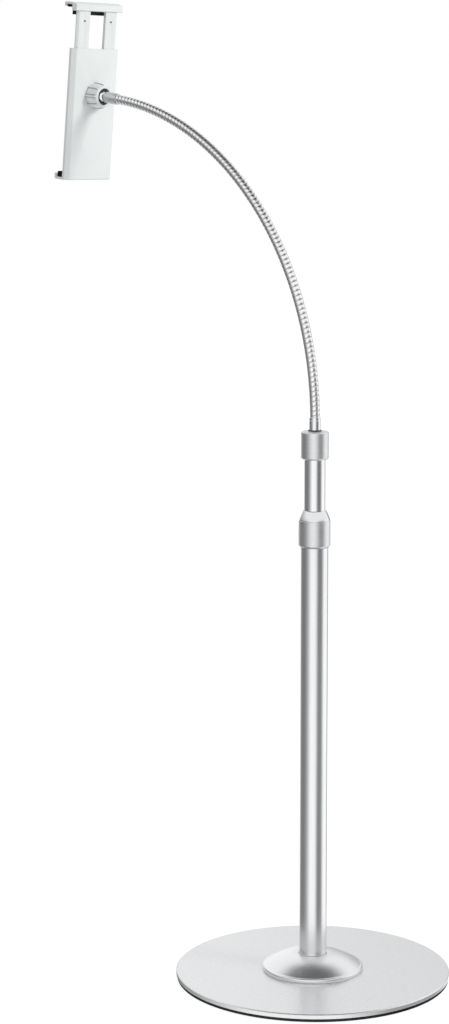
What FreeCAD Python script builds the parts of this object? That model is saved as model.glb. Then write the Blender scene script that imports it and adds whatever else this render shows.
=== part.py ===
import FreeCAD, Part
import os
import re

import Sketcher

# Adjustable floor stand for a tablet.
# A weighted round base carries a telescopic pole. A bending neck rises from the pole
# and ends in a ball joint, which carries a holder with two spring-loaded jaws.
# Origin: centre of the base on the floor. +Z is up and the neck reaches towards -Y.

# Driving sizes in millimetres and degrees.
SIZES = {
    # Base plate, the rubber pad under it and the bolt that holds the pole
    "plate_diameter": 300,
    "plate_thickness": 5.5,
    "plate_chamfer": 1.0,
    "pad_thickness": 3,
    "pad_inset": 3,
    "recess_diameter": 30,
    "recess_depth": 3.9,
    "bolt_diameter": 8,
    "bolt_head_width": 13,
    "bolt_head_height": 2.2,
    "bolt_reach": 24,
    "washer_diameter": 24,
    "washer_thickness": 1.6,
    "plug_height": 30,
    # Domed cover round the foot of the pole
    "dome_diameter": 110,
    "dome_height": 17.5,
    "dome_rim": 2.5,
    "dome_shoulder": 2.5,
    "dome_wall": 1.4,
    # Telescopic pole
    "outer_tube_diameter": 30,
    "outer_tube_wall": 1.5,
    "outer_tube_length": 475.5,
    "inner_tube_diameter": 23,
    "inner_tube_wall": 1.2,
    "tube_foot_room": 61.5,
    "inner_tube_exposed": 55.2,
    "bush_height": 24,
    "bush_lip": 3,
    # Twist lock between the tubes
    "sleeve_spigot": 30,
    "sleeve_shoulder": 3,
    "sleeve_thread_length": 14,
    "thread_depth": 1,
    "collet_height": 10,
    "collet_chamfer": 3,
    "collet_slot": 3,
    "nut_diameter": 34.4,
    "nut_skirt": 6,
    "nut_barrel": 29,
    "nut_taper": 10.8,
    "nut_lip": 0.8,
    "nut_chamfer": 2.2,
    # Collar that clamps the foot of the neck
    "collar_diameter": 29.8,
    "collar_height": 30.3,
    "collar_top_chamfer": 3.6,
    "collar_bottom_chamfer": 1.6,
    "collar_roof": 5.3,
    "collar_skirt": 12,
    "collar_hole": 13.4,
    "crown_height": 7,
    "crown_diameter": 25,
    "crown_spigot": 25,
    "foot_diameter": 12.3,
    "foot_flange_diameter": 20,
    "foot_flange_height": 3,
    "foot_spigot": 22,
    "foot_exposed": 14.7,
    "foot_washer_height": 2.2,
    # Bending neck
    "neck_diameter": 10.8,
    "neck_pitch": 41.3,
    "neck_bend": 6.85,
    "neck_first_reach": 17,
    "neck_gap": 1.4,
    "knuckle_diameter": 4.4,
    "knuckle_reach": 2.5,
    "knuckle_socket": 6,
    "ferrule_diameter": 12.6,
    "ferrule_length": 19.5,
    "ferrule_chamfer": 0.8,
    "ferrule_bore_depth": 13,
    # Ball joint
    "ball_diameter": 15,
    "stem_diameter": 7,
    "stem_length": 8.7,
    "liner_wall": 0.95,
    "seat_wall": 1,
    "seat_front": 2,
    "seat_relief": 0.45,
    "barrel_wall": 1.5,
    "barrel_front": 2.5,
    "barrel_floor": 2.3,
    "throat_angle": 57,
    "throat_gap": 0.2,
    "ring_lip": 1.75,
    "ring_flare": 2.8,
    "ring_rim": 2.2,
    "ring_wall": 2.45,
    "ring_band": 3,
    "ring_edge": 1,
    "ring_rib_height": 1,
    "ring_rib_width": 2.2,
    "boss_screw_circle": 13,
    "boss_screw_diameter": 2.5,
    "boss_screw_head": 4.6,
    "boss_screw_head_height": 1.3,
    "boss_screw_reach": 1.7,
    # Holder housing
    "holder_lean": 6,
    "housing_depth": 7.6,
    "housing_width": 72,
    "housing_side": 4.8,
    "housing_above": 52,
    "housing_below": 96,
    "housing_bevel": 4.4,
    "housing_wall": 1.9,
    "housing_floor": 5.5,
    "cover_thickness": 1.5,
    "cushion_width": 50,
    "cushion_height": 112,
    "cushion_thickness": 1.5,
    # Sliding clamp
    "slider_depth": 3.6,
    "slider_web": 1.1,
    "slider_bevel": 2.2,
    "slider_exposed": 41.5,
    "slider_inside": 99.5,
    "slider_head": 5.4,
    "window_width": 24,
    "cross_bar": 8,
    "channel_width": 12,
    "spring_offset": 20.3,
    "spring_diameter": 2.2,
    "spring_pin_diameter": 2.4,
    "spring_pin_head": 4,
    "spring_pin_head_height": 0.5,
    "spring_pin_drop": 11,
    "anchor_height": 86.5,
    # Jaws that hold the edges of the tablet
    "jaw_reach": 12.5,
    "jaw_thickness": 2.6,
    "lower_lip_height": 4.2,
    "upper_jaw_height": 7.4,
    "upper_jaw_bevel": 1,
    "upper_shelf_height": 6.8,
    "upper_lip_height": 2.4,
    "liner_thickness": 1.3,
    "lower_liner_leg": 5,
    "upper_liner_leg": 2,
    "back_liner_leg": 4.5,
    "liner_inset": 2,
    # Clearances, each on one side
    "running_gap": 0.1,
    "fixed_gap": 0.05,
    "cover_gap": 0.3,
}
NECK_JOINTS = 12
RING_RIBS = 8

doc = FreeCAD.newDocument("TabletFloorStand")
sizes = doc.addObject("Spreadsheet::Sheet", "Sizes")
for row, (alias, value) in enumerate(SIZES.items(), 1):
    sizes.set(f"A{row}", alias)
    sizes.set(f"B{row}", str(value))
    sizes.setAlias(f"B{row}", alias)
doc.recompute()
sub_parts = []


def bound(expression):
    """Expression with each size name read from the sheet."""
    def from_sheet(word):
        return f"Sizes.{word[0]}" if word[0] in SIZES else word[0]

    return re.sub(r"[a-z][a-z_]+", from_sheet, expression)


def number(expression):
    return float(sizes.evalExpression(expression))


def datum(body, role):
    """One of the planes and axes through a body's origin."""
    for feature in body.Origin.OriginFeatures:
        if feature.Role == role:
            return feature
    raise ValueError(role)


def new_body(label):
    body = doc.addObject("PartDesign::Body", label)
    body.Label = label
    sub_parts.append(body)
    return body


def place(part, base, lean="0"):
    """Put a sub-part at base, leaned about X by an angle in degrees."""
    start = FreeCAD.Vector(*[number(coordinate) for coordinate in base])
    turn = FreeCAD.Rotation(FreeCAD.Vector(1, 0, 0), number(lean))
    part.Placement = FreeCAD.Placement(start, turn)
    for axis, coordinate in zip("xyz", base):
        part.setExpression(f".Placement.Base.{axis}", bound(coordinate))
    if lean != "0":
        part.setExpression(".Placement.Rotation.Angle", bound(f"({lean}) * 1 deg"))


def new_sketch(body, name, role, offset="0"):
    sketch = body.newObject("Sketcher::SketchObject", name)
    sketch.AttachmentSupport = [(datum(body, role), "")]
    sketch.MapMode = "FlatFace"
    if offset != "0":
        sketch.setExpression(".AttachmentOffset.Base.z", bound(offset))
    return sketch


def pin_point(sketch, geometry, vertex, corner):
    """Hold one point of the sketch at a corner given by two expressions."""
    for kind, expression in zip(("DistanceX", "DistanceY"), corner):
        value = number(expression)
        index = sketch.addConstraint(Sketcher.Constraint(kind, -1, 1, geometry, vertex, value))
        if re.search("[a-z]", expression):
            sketch.setExpression(f"Constraints[{index}]", bound(expression))


def outline(sketch, corners):
    """Closed outline. A corner's third entry is the radius of the arc that leads on from it."""
    points = [FreeCAD.Vector(number(corner[0]), number(corner[1]), 0) for corner in corners]
    first = sketch.GeometryCount
    ends = []
    for index, corner in enumerate(corners):
        start, end = points[index], points[(index + 1) % len(points)]
        if len(corner) == 2:
            sketch.addGeometry(Part.LineSegment(start, end), False)
            ends.append((1, 2))
            continue
        # A positive radius bulges to the right of the way round, and a negative one to the left
        radius = number(corner[2])
        chord = end - start
        half = chord.Length / 2
        normal = FreeCAD.Vector(-chord.y, chord.x, 0).normalize()
        side = 1 if radius > 0 else -1
        centre = (start + end) / 2 + normal * side * (radius ** 2 - half ** 2) ** 0.5
        middle = centre - normal * side * abs(radius)
        sketch.addGeometry(Part.Arc(start, middle, end), False)
        ends.append((1, 2) if radius > 0 else (2, 1))
        radius_index = sketch.addConstraint(Sketcher.Constraint("Radius", first + index, abs(radius)))
        sign = "" if radius > 0 else "-1 * "
        sketch.setExpression(f"Constraints[{radius_index}]", bound(f"{sign}({corner[2]})"))
    for index, corner in enumerate(corners):
        following = (index + 1) % len(corners)
        joined = (first + index, ends[index][1], first + following, ends[following][0])
        sketch.addConstraint(Sketcher.Constraint("Coincident", *joined))
        pin_point(sketch, first + index, ends[index][0], corner)


def rectangle(left, right, bottom, top):
    return [(left, bottom), (right, bottom), (right, top), (left, top)]


def strip(width, bottom, top):
    """Rectangle centred on the sketch's upright axis."""
    return rectangle(f"0 - ({width}) / 2", f"({width}) / 2", bottom, top)


def swept(start, end, steps, upright=True):
    """Points after start on a parabola to end, which leaves start upright or level."""
    points = []
    for step in range(1, steps + 1):
        share = step / steps
        across, rise = (share ** 2, share) if upright else (share, share ** 2)
        points.append((
            f"{start[0]} + ({end[0]} - ({start[0]})) * {across:.6f}",
            f"{start[1]} + ({end[1]} - ({start[1]})) * {rise:.6f}",
        ))
    return points


def circle(sketch, centre, radius):
    middle = FreeCAD.Vector(number(centre[0]), number(centre[1]), 0)
    ring = Part.Circle(middle, FreeCAD.Vector(0, 0, 1), number(radius))
    geometry = sketch.addGeometry(ring, False)
    index = sketch.addConstraint(Sketcher.Constraint("Radius", geometry, number(radius)))
    sketch.setExpression(f"Constraints[{index}]", bound(radius))
    pin_point(sketch, geometry, 3, centre)


def turned(label, corners, base, lean="0"):
    """Sub-part turned about its own Z axis from an outline of radius and height."""
    body = new_body(label)
    sketch = new_sketch(body, f"{label}_profile", "XZ_Plane")
    outline(sketch, corners)
    revolution = body.newObject("PartDesign::Revolution", f"{label}_revolution")
    revolution.Profile = sketch
    revolution.ReferenceAxis = (sketch, ["V_Axis"])
    revolution.Angle = 360
    place(body, base, lean)
    doc.recompute()
    return body


def pad(body, sketch, length, symmetric=False):
    feature = body.newObject("PartDesign::Pad", f"{sketch.Name}_pad")
    feature.Profile = sketch
    feature.setExpression("Length", bound(length))
    if symmetric:
        feature.SideType = "Symmetric"
    doc.recompute()
    return feature


def pocket(body, sketch, length, reverse=False, through=False):
    """Cut a sketch into the body, and refuse a cut that removes nothing."""
    before = body.Shape.Volume
    feature = body.newObject("PartDesign::Pocket", f"{sketch.Name}_pocket")
    feature.Profile = sketch
    feature.Reversed = reverse
    if through:
        feature.Type = "ThroughAll"
    else:
        feature.setExpression("Length", bound(length))
    doc.recompute()
    if body.Shape.Volume >= before - 1e-6:
        raise RuntimeError(f"{feature.Name} cuts nothing")
    return feature


def edges_where(shape, test):
    return [f"Edge{index}" for index, edge in enumerate(shape.Edges, 1) if test(edge)]


def runs_along(edge, axis):
    """True where a straight edge runs along one axis."""
    if len(edge.Vertexes) != 2 or not isinstance(edge.Curve, (Part.Line, Part.LineSegment)):
        return False
    step = edge.Vertexes[1].Point - edge.Vertexes[0].Point
    return abs(abs(step.dot(axis)) - step.Length) < 1e-6


def near(value, expression):
    return abs(value - number(expression)) < 1e-4


def chamfer(body, test, size):
    feature = body.newObject("PartDesign::Chamfer", f"{body.Name}_chamfer")
    previous = feature.BaseFeature or body.Tip
    feature.Base = (previous, edges_where(previous.Shape, test))
    feature.setExpression("Size", bound(size))
    doc.recompute()
    return feature


def fillet(body, test, radius):
    feature = body.newObject("PartDesign::Fillet", f"{body.Name}_fillet")
    previous = feature.BaseFeature or body.Tip
    feature.Base = (previous, edges_where(previous.Shape, test))
    feature.setExpression("Radius", bound(radius))
    doc.recompute()
    return feature


X_AXIS = FreeCAD.Vector(1, 0, 0)
Z_AXIS = FreeCAD.Vector(0, 0, 1)

# Heights of the pieces on the pole
PLATE_TOP = "(pad_thickness + plate_thickness)"
OUTER_TOP = f"({PLATE_TOP} + outer_tube_length)"
NUT_TOP = f"({OUTER_TOP} - nut_skirt + nut_barrel + nut_taper)"
COLLAR_BOTTOM = f"({NUT_TOP} + inner_tube_exposed)"
INNER_TOP = f"({COLLAR_BOTTOM} + collar_skirt)"
INNER_BOTTOM = f"({PLATE_TOP} + plug_height + tube_foot_room)"
CROWN_TOP = f"({INNER_TOP} + crown_height)"
FOOT_BASE = f"({CROWN_TOP} + 2 * running_gap)"
NECK_START = f"({COLLAR_BOTTOM} + collar_height + foot_exposed)"

# Radii shared by pieces that fit one another
OUTER_BORE = "(outer_tube_diameter / 2 - outer_tube_wall)"
INNER_RADIUS = "(inner_tube_diameter / 2)"
INNER_BORE = "(inner_tube_diameter / 2 - inner_tube_wall)"
THREAD_RADIUS = "(outer_tube_diameter / 2 - thread_depth)"
FOOT_RADIUS = "(foot_diameter / 2)"
BALL_RADIUS = "(ball_diameter / 2)"


def base_pieces():
    plate_radius = "plate_diameter / 2"
    pad_radius = "plate_diameter / 2 - pad_inset"
    turned("base_pad", rectangle("0", pad_radius, "0", "pad_thickness"), ("0", "0", "0"))

    bolt_hole = "bolt_diameter / 2 + cover_gap"
    turned("base_plate", [
        ("recess_diameter / 2", "0"),
        (plate_radius, "0"),
        (plate_radius, "plate_thickness - plate_chamfer"),
        (f"{plate_radius} - plate_chamfer", "plate_thickness"),
        (bolt_hole, "plate_thickness"),
        (bolt_hole, "recess_depth"),
        ("recess_diameter / 2", "recess_depth"),
    ], ("0", "0", "pad_thickness"))

    washer_base = "pad_thickness + recess_depth - washer_thickness"
    turned("base_washer", rectangle(bolt_hole, "washer_diameter / 2", "0", "washer_thickness"),
           ("0", "0", washer_base))

    # Hexagon head below its origin, and shank above it up into the plug
    bolt = new_body("base_bolt")
    head = new_sketch(bolt, "bolt_head", "XY_Plane", "0 - bolt_head_height")
    half = "bolt_head_width / 2"
    point = "bolt_head_width / sqrt(3)"
    side = "bolt_head_width / sqrt(12)"
    outline(head, [
        (point, "0"), (side, half), (f"0 - {side}", half),
        (f"0 - {point}", "0"), (f"0 - {side}", f"0 - {half}"), (side, f"0 - {half}"),
    ])
    pad(bolt, head, "bolt_head_height")
    shank = new_sketch(bolt, "bolt_shank", "XY_Plane")
    circle(shank, ("0", "0"), "bolt_diameter / 2")
    pad(bolt, shank, "washer_thickness + plate_thickness - recess_depth + bolt_reach")
    place(bolt, ("0", "0", washer_base))

    plug_bore = "bolt_diameter / 2 + fixed_gap"
    turned("foot_plug", rectangle(plug_bore, f"{OUTER_BORE} - fixed_gap", "0", "plug_height"),
           ("0", "0", PLATE_TOP))


def dome():
    """Pressed cover: an upright rim, a small shoulder and a low cap, hollow below."""
    radius = "(dome_diameter / 2)"
    hole = "(outer_tube_diameter / 2 + cover_gap)"
    cap_foot = f"({radius} - dome_shoulder)"
    shoulder_top = "(dome_rim + dome_shoulder)"
    cap_steps = 8
    shoulder_steps = 3
    outer_top = (hole, "dome_height")
    outer_cap = [outer_top] + swept(outer_top, (cap_foot, shoulder_top), cap_steps, False)
    inner_top = (hole, "(dome_height - dome_wall)")
    inner_cap = [inner_top] + swept(inner_top, (f"({cap_foot} - dome_wall)", "dome_rim"), cap_steps, False)
    shoulder = swept((radius, "dome_rim"), (cap_foot, shoulder_top), shoulder_steps)
    turned("hub_dome", [
        (f"{cap_foot} - dome_wall", "0"),
        (radius, "0"),
        (radius, "dome_rim"),
    ] + shoulder[:-1] + outer_cap[::-1] + inner_cap, ("0", "0", PLATE_TOP))


def pole():
    turned("outer_tube", rectangle(OUTER_BORE, "outer_tube_diameter / 2", "0", "outer_tube_length"),
           ("0", "0", PLATE_TOP))

    # Sleeve pressed into the tube, with a shoulder on its edge and the thread above
    sleeve_bore = f"{INNER_RADIUS} + running_gap"
    thread_top = "sleeve_shoulder + sleeve_thread_length"
    turned("lock_sleeve", [
        (sleeve_bore, "0 - sleeve_spigot"),
        (f"{OUTER_BORE} - fixed_gap", "0 - sleeve_spigot"),
        (f"{OUTER_BORE} - fixed_gap", "0"),
        ("outer_tube_diameter / 2", "0"),
        ("outer_tube_diameter / 2", "sleeve_shoulder"),
        (THREAD_RADIUS, "sleeve_shoulder"),
        (THREAD_RADIUS, thread_top),
        (sleeve_bore, thread_top),
    ], ("0", "0", OUTER_TOP))

    # Split ring that the nut squeezes onto the inner tube
    collet = turned("lock_collet", [
        (f"{INNER_RADIUS} + fixed_gap", "0"),
        (f"{THREAD_RADIUS} - cover_gap", "0"),
        (f"{THREAD_RADIUS} - cover_gap", "collet_height - collet_chamfer"),
        (f"{THREAD_RADIUS} - cover_gap - collet_chamfer / 2", "collet_height"),
        (f"{INNER_RADIUS} + fixed_gap", "collet_height"),
    ], ("0", "0", f"{OUTER_TOP} + {thread_top}"))
    slot = new_sketch(collet, "collet_split", "XY_Plane")
    outline(slot, rectangle("0", "outer_tube_diameter", "0 - collet_slot / 2", "collet_slot / 2"))
    pocket(collet, slot, "collet_height", reverse=True)

    # Nut with a straight barrel and a rounded taper that closes on the inner tube
    nut_radius = "(nut_diameter / 2)"
    nut_hole = f"({INNER_RADIUS} + cover_gap)"
    skirt_bore = "outer_tube_diameter / 2 + cover_gap"
    nut_bore = f"({THREAD_RADIUS} + cover_gap)"
    skirt_top = "nut_skirt + sleeve_shoulder + cover_gap"
    cavity_top = f"nut_skirt + {thread_top} + collet_height - collet_chamfer + cover_gap"
    roof = f"nut_skirt + {thread_top} + collet_height + cover_gap"
    taper_foot = (nut_radius, "nut_barrel")
    taper_top = (f"({nut_hole} + nut_lip)", "(nut_barrel + nut_taper)")
    turned("lock_nut", [
        (skirt_bore, "0"),
        (f"{nut_radius} - nut_chamfer", "0"),
        (nut_radius, "nut_chamfer"),
        taper_foot,
    ] + swept(taper_foot, taper_top, 5) + [
        (nut_hole, "nut_barrel + nut_taper"),
        (nut_hole, roof),
        (f"{nut_bore} - collet_chamfer / 2", roof),
        (nut_bore, cavity_top),
        (nut_bore, skirt_top),
        (skirt_bore, skirt_top),
    ], ("0", "0", f"{OUTER_TOP} - nut_skirt"))

    # Bush that carries the inner tube on its lip and slides in the outer tube
    turned("guide_bush", [
        (f"{INNER_BORE} - running_gap", "0 - bush_lip"),
        (f"{OUTER_BORE} - running_gap", "0 - bush_lip"),
        (f"{OUTER_BORE} - running_gap", "bush_height"),
        (f"{INNER_RADIUS} + running_gap", "bush_height"),
        (f"{INNER_RADIUS} + running_gap", "0 - running_gap"),
        (f"{INNER_BORE} - running_gap", "0 - running_gap"),
    ], ("0", "0", INNER_BOTTOM))

    turned("inner_tube", rectangle(INNER_BORE, INNER_RADIUS, "0", f"{INNER_TOP} - {INNER_BOTTOM}"),
           ("0", "0", INNER_BOTTOM))


def neck_foot():
    # Crown pressed into the inner tube, which the collar screws onto
    crown_bore = f"{FOOT_RADIUS} + running_gap"
    turned("crown", [
        (crown_bore, "0 - crown_spigot"),
        (f"{INNER_BORE} - fixed_gap", "0 - crown_spigot"),
        (f"{INNER_BORE} - fixed_gap", "0"),
        ("crown_diameter / 2", "0"),
        ("crown_diameter / 2", "crown_height"),
        (crown_bore, "crown_height"),
    ], ("0", "0", INNER_TOP))

    flange_top = "foot_flange_height"
    foot_top = f"({NECK_START} - {FOOT_BASE})"
    turned("neck_foot", [
        ("0", "0 - foot_spigot"),
        (FOOT_RADIUS, "0 - foot_spigot"),
        (FOOT_RADIUS, "0"),
        ("foot_flange_diameter / 2", "0"),
        ("foot_flange_diameter / 2", flange_top),
        (FOOT_RADIUS, flange_top),
        (FOOT_RADIUS, f"{foot_top} - ferrule_chamfer"),
        (f"{FOOT_RADIUS} - ferrule_chamfer", foot_top),
        ("0", foot_top),
    ], ("0", "0", FOOT_BASE))

    washer_bore = f"{FOOT_RADIUS} + cover_gap"
    washer_radius = "crown_diameter / 2 - cover_gap"
    turned("foot_washer", rectangle(washer_bore, washer_radius, "0", "foot_washer_height"),
           ("0", "0", f"{FOOT_BASE} + foot_flange_height + running_gap"))

    collar_radius = "collar_diameter / 2"
    skirt_bore = f"{INNER_RADIUS} + cover_gap"
    crown_clear = "crown_diameter / 2 + running_gap"
    roof = "collar_height - collar_roof"
    turned("top_collar", [
        (skirt_bore, "0"),
        (f"{collar_radius} - collar_bottom_chamfer", "0"),
        (collar_radius, "collar_bottom_chamfer"),
        (collar_radius, "collar_height - collar_top_chamfer"),
        (f"{collar_radius} - collar_top_chamfer", "collar_height"),
        ("collar_hole / 2", "collar_height"),
        ("collar_hole / 2", roof),
        (crown_clear, roof),
        (crown_clear, "collar_skirt - cover_gap"),
        (skirt_bore, "collar_skirt - cover_gap"),
    ], ("0", "0", COLLAR_BOTTOM))


def neck_joint(count):
    """Place and lean of the neck after a number of joints, each of which bends by the same angle."""
    half = "(neck_bend / 2)"
    chord = f"neck_pitch * sin({count - 1} * {half}) / sin({half})"
    back = f"0 - {chord} * sin({count} * {half})"
    rise = f"{NECK_START} + neck_first_reach + {chord} * cos({count} * {half})"
    return ("0", back, rise), f"{count} * neck_bend"


def neck():
    """Row of short tubes. Each has a knuckle below that turns in the socket of the one before."""
    radius = "neck_diameter / 2"
    knuckle = "knuckle_diameter / 2"
    socket = "knuckle_socket / 2"
    face = "neck_gap / 2"
    half_length = "neck_pitch / 2"
    knuckle_start = [
        ("0", "0 - knuckle_reach"),
        (knuckle, "0 - knuckle_reach"),
        (knuckle, face),
        (radius, face),
    ]

    def socket_end(top):
        floor = f"{top} - knuckle_reach - neck_gap"
        return [(radius, top), (socket, top), (socket, floor), ("0", floor)]

    first = [("0", "0"), (radius, "0")] + socket_end(f"neck_first_reach - {face}")
    turned("neck_segment_01", first, ("0", "0", NECK_START))
    for count in range(1, NECK_JOINTS):
        base, lean = neck_joint(count)
        profile = knuckle_start + socket_end(f"neck_pitch - {face}")
        turned(f"neck_segment_{count + 1:02d}", profile, base, lean)
    base, lean = neck_joint(NECK_JOINTS)
    last = knuckle_start + [(radius, half_length), ("0", half_length)]
    turned(f"neck_segment_{NECK_JOINTS + 1:02d}", last, base, lean)


LAST_JOINT, NECK_LEAN = neck_joint(NECK_JOINTS)
BALL_REACH = "(neck_pitch / 2 + ferrule_length + stem_length)"
BALL_CENTRE = (
    "0",
    f"{LAST_JOINT[1]} - {BALL_REACH} * sin({NECK_LEAN})",
    f"{LAST_JOINT[2]} + {BALL_REACH} * cos({NECK_LEAN})",
)
LINER_OUTER = f"({BALL_RADIUS} + running_gap + liner_wall)"
SEAT_BORE = f"({LINER_OUTER} + running_gap)"
SEAT_RADIUS = f"({SEAT_BORE} + seat_wall)"
BARREL_BORE = f"({SEAT_RADIUS} + running_gap)"
BARREL_RADIUS = f"({BARREL_BORE} + barrel_wall)"
BARREL_CAVITY = f"({SEAT_BORE} - seat_relief)"
HOUSING_BACK = f"({BARREL_CAVITY} + barrel_floor)"
SOCKET_LEAN = "90 - holder_lean"


def bands(radius, angles):
    """Points on a sphere at some angles from its front pole."""
    return [(f"{radius} * sin({angle})", f"0 - {radius} * cos({angle})") for angle in angles]


def ball_joint():
    """Ball in a liner that tilts and a seat that pans, inside the barrel that the ring nut closes."""
    stem = "stem_diameter / 2"
    spigot_end = "0 - stem_length - ferrule_bore_depth + cover_gap"
    stem_meets = f"0 - sqrt({BALL_RADIUS} ^ 2 - ({stem}) ^ 2)"
    turned("ball_stud", [
        ("0", spigot_end),
        (stem, spigot_end),
        (stem, stem_meets, BALL_RADIUS),
        (f"{BALL_RADIUS} * sin(60)", f"{BALL_RADIUS} * cos(60)"),
        ("0", f"{BALL_RADIUS} * cos(60)"),
    ], BALL_CENTRE, NECK_LEAN)

    ferrule = "ferrule_diameter / 2"
    neck_end = "0 - stem_length - ferrule_length"
    bore_end = "0 - stem_length - ferrule_bore_depth"
    turned("upper_ferrule", [
        ("0", neck_end),
        (f"{ferrule} - ferrule_chamfer", neck_end),
        (ferrule, f"{neck_end} + ferrule_chamfer"),
        (ferrule, "0 - stem_length - ferrule_chamfer"),
        (f"{ferrule} - ferrule_chamfer", "0 - stem_length"),
        (f"{stem} + fixed_gap", "0 - stem_length"),
        (f"{stem} + fixed_gap", bore_end),
        ("0", bore_end),
    ], BALL_CENTRE, NECK_LEAN)

    # Faceted shells: the outer bands lie inside their sphere and the inner bands outside theirs
    angles = (78, 97, 116, 135)
    half_band = 9.5
    inner = bands(f"({BALL_RADIUS} + running_gap) / cos({half_band})", angles)
    outer = bands(LINER_OUTER, angles)
    turned("ball_liner", inner + outer[::-1], BALL_CENTRE, SOCKET_LEAN)

    cup = bands(f"{SEAT_BORE} / cos({half_band})", (90, 109, 128, 147))
    front = "0 - seat_front"
    turned("ball_seat", [
        (cup[0][0], front),
        (SEAT_RADIUS, front),
        (SEAT_RADIUS, f"{BARREL_CAVITY} - running_gap"),
        (cup[-1][0], f"{BARREL_CAVITY} - running_gap"),
    ] + cup[::-1], BALL_CENTRE, SOCKET_LEAN)

    barrel = turned("socket_barrel", [
        (BARREL_BORE, "0 - barrel_front"),
        (BARREL_RADIUS, "0 - barrel_front"),
        (BARREL_RADIUS, HOUSING_BACK),
        ("0", HOUSING_BACK),
        ("0", BARREL_CAVITY),
        (BARREL_BORE, BARREL_CAVITY),
    ], BALL_CENTRE, SOCKET_LEAN)
    holes = new_sketch(barrel, "barrel_screw_holes", "XY_Plane", HOUSING_BACK)
    screw_circle(holes, "boss_screw_diameter / 2 + fixed_gap")
    pocket(barrel, holes, "boss_screw_reach + fixed_gap")

    ring_nut()

    # Screws driven from inside the housing into the floor of the barrel
    screws = new_body("barrel_screws")
    heads = new_sketch(screws, "screw_heads", "XY_Plane", f"{HOUSING_BACK} + housing_wall")
    screw_circle(heads, "boss_screw_head / 2")
    pad(screws, heads, "boss_screw_head_height")
    shanks = new_sketch(screws, "screw_shanks", "XY_Plane", f"{HOUSING_BACK} - boss_screw_reach")
    screw_circle(shanks, "boss_screw_diameter / 2")
    pad(screws, shanks, "boss_screw_reach + housing_wall")
    place(screws, BALL_CENTRE, SOCKET_LEAN)


def screw_circle(sketch, radius):
    """Three circles, evenly spaced round the axis of the ball joint."""
    for angle in (90, 210, 330):
        centre = (f"boss_screw_circle / 2 * cos({angle})", f"boss_screw_circle / 2 * sin({angle})")
        circle(sketch, centre, radius)


def ring_nut():
    """Tapered clamping ring with a flared mouth and lengthwise grip ribs."""
    lip_back = f"(0 - {BALL_RADIUS} * cos(throat_angle))"
    throat = f"({BALL_RADIUS} * sin(throat_angle) + throat_gap)"
    front = f"({lip_back} - ring_lip)"
    rear = f"({HOUSING_BACK} - cover_gap)"
    mouth = f"({throat} + ring_flare)"
    front_radius = f"({mouth} + ring_rim)"
    thread = f"({BARREL_RADIUS} + running_gap)"
    land_radius = f"({thread} + ring_wall)"
    rib_radius = f"({land_radius} + ring_rib_height)"
    shoulder = f"({rear} - ring_band)"
    edge = (f"({front_radius} + ring_edge)", f"({front} + ring_edge)")
    cavity = f"{BARREL_BORE} - fixed_gap"
    ring = turned("ring_nut", [
        (mouth, front),
        (front_radius, front),
    ] + swept((land_radius, shoulder), edge, 4)[::-1] + [
        (land_radius, shoulder),
        (land_radius, rear),
        (thread, rear),
        (thread, "0 - barrel_front - cover_gap"),
        (cavity, "0 - barrel_front - cover_gap"),
        (cavity, lip_back),
        (throat, lip_back),
    ], BALL_CENTRE, SOCKET_LEAN)

    # A rib falls with the taper and stops short of the front edge
    rib_end = (f"({edge[0]} + ring_rib_height / 2)", f"({edge[1]} + ring_rib_height / 2)")
    rib = new_sketch(ring, "ring_rib", "XZ_Plane")
    outline(rib, [
        (f"{edge[0]} - ring_rib_height / 2", rib_end[1]),
    ] + swept((rib_radius, shoulder), rib_end, 4)[::-1] + [
        (rib_radius, shoulder),
        (rib_radius, rear),
        (f"{land_radius} - ring_rib_height / 2", rear),
    ])
    first_rib = pad(ring, rib, "ring_rib_width", symmetric=True)
    pattern = ring.newObject("PartDesign::PolarPattern", "ring_ribs")
    pattern.Originals = [first_rib]
    pattern.Axis = (datum(ring, "Z_Axis"), [""])
    pattern.Angle = 360
    pattern.Occurrences = RING_RIBS
    ring.Tip = pattern
    doc.recompute()


# The holder is drawn upright with the ball at the origin, its back towards +Y and its jaws towards -Y
HOLDER_LEAN = "0 - holder_lean"
HOUSING_FRONT = f"({HOUSING_BACK} + housing_depth)"
CAVITY_BACK = f"({HOUSING_BACK} + housing_wall)"
CAVITY_WIDTH = "(housing_width - 2 * housing_side)"
SLIDER_WIDTH = f"({CAVITY_WIDTH} - 2 * cover_gap)"
CAVITY_FLOOR = "(0 - housing_below + housing_floor)"
COVER_BACK = f"({HOUSING_FRONT} - cover_thickness)"
JAW_BOTTOM = "(housing_above + slider_exposed)"
JAW_FRONT = f"({HOUSING_FRONT} + jaw_reach)"
LOWER_SHELF_TOP = "(0 - housing_below + jaw_thickness)"
UPPER_SHELF_BOTTOM = f"({JAW_BOTTOM} + upper_shelf_height)"
SLIDER_BACK = f"({CAVITY_BACK} + cover_gap)"
PIN_HEIGHT = f"({JAW_BOTTOM} - spring_pin_drop)"


def pair(sketch, height, radius):
    """Two circles, one on each side of the holder's middle."""
    for side in ("0 - spring_offset", "spring_offset"):
        circle(sketch, (side, height), radius)


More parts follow.
